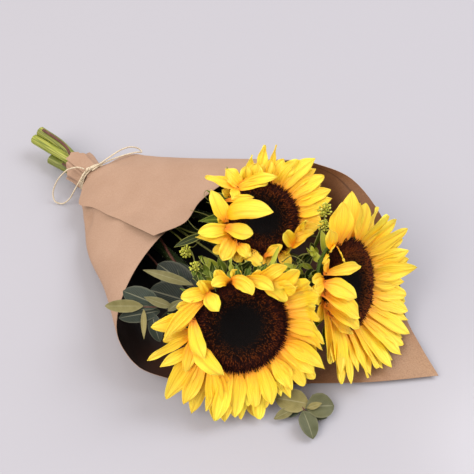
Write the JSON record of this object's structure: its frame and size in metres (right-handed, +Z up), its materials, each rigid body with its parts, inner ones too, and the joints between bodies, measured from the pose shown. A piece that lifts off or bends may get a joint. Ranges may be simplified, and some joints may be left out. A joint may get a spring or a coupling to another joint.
{
  "type": "sunflower bunch",
  "caption": "Cut sunflowers with eucalyptus and seeded filler, rolled in a kraft paper cone and tied at the neck with twine, lying on its side.",
  "frame": {"origin": "middle of the bunch's footprint on the surface that it lies on, the loose twine bow not counted", "axes": "+X from the cut stems towards the flower heads, +Y across the bunch towards the paper's high side, +Z up from the surface"},
  "size_m": [0.4852, 0.2544, 0.1322],
  "materials": {
    "kraft_paper": "matt brown kraft paper, faint grain",
    "twine": "cream cotton twine, matt",
    "petal_yellow": "bright yellow petals with a soft satin sheen, orange at the root",
    "seed_disc": "dark brown florets round a black centre, matt",
    "stem_green": "yellow-green stem and bracts, slightly hairy",
    "eucalyptus_leaf": "grey-green leaves with a waxy bloom",
    "leaf_green": "mid green leaves, semi-matt",
    "seed_green": "yellow-green small seeds, matt"
  },
  "bodies": {
    "root": {"paper_wrap": "kraft_paper", "twine_tie": "twine", "twine_bow_near": "twine", "twine_bow_far": "twine", "sunflower_near_petals": "petal_yellow", "sunflower_far_petals": "petal_yellow", "sunflower_right_petals": "petal_yellow", "sunflower_near_disc": "seed_disc", "sunflower_far_disc": "seed_disc", "sunflower_right_disc": "seed_disc", "sunflower_near_stem": "stem_green", "sunflower_far_stem": "stem_green", "sunflower_right_stem": "stem_green", "eucalyptus_near": "eucalyptus_leaf", "eucalyptus_inner": "eucalyptus_leaf", "eucalyptus_front": "eucalyptus_leaf", "leafy_twig_near": "leaf_green", "leafy_twig_far": "leaf_green", "seeded_spray_near": "seed_green", "seeded_spray_far": "seed_green"}
  },
  "joints": []
}
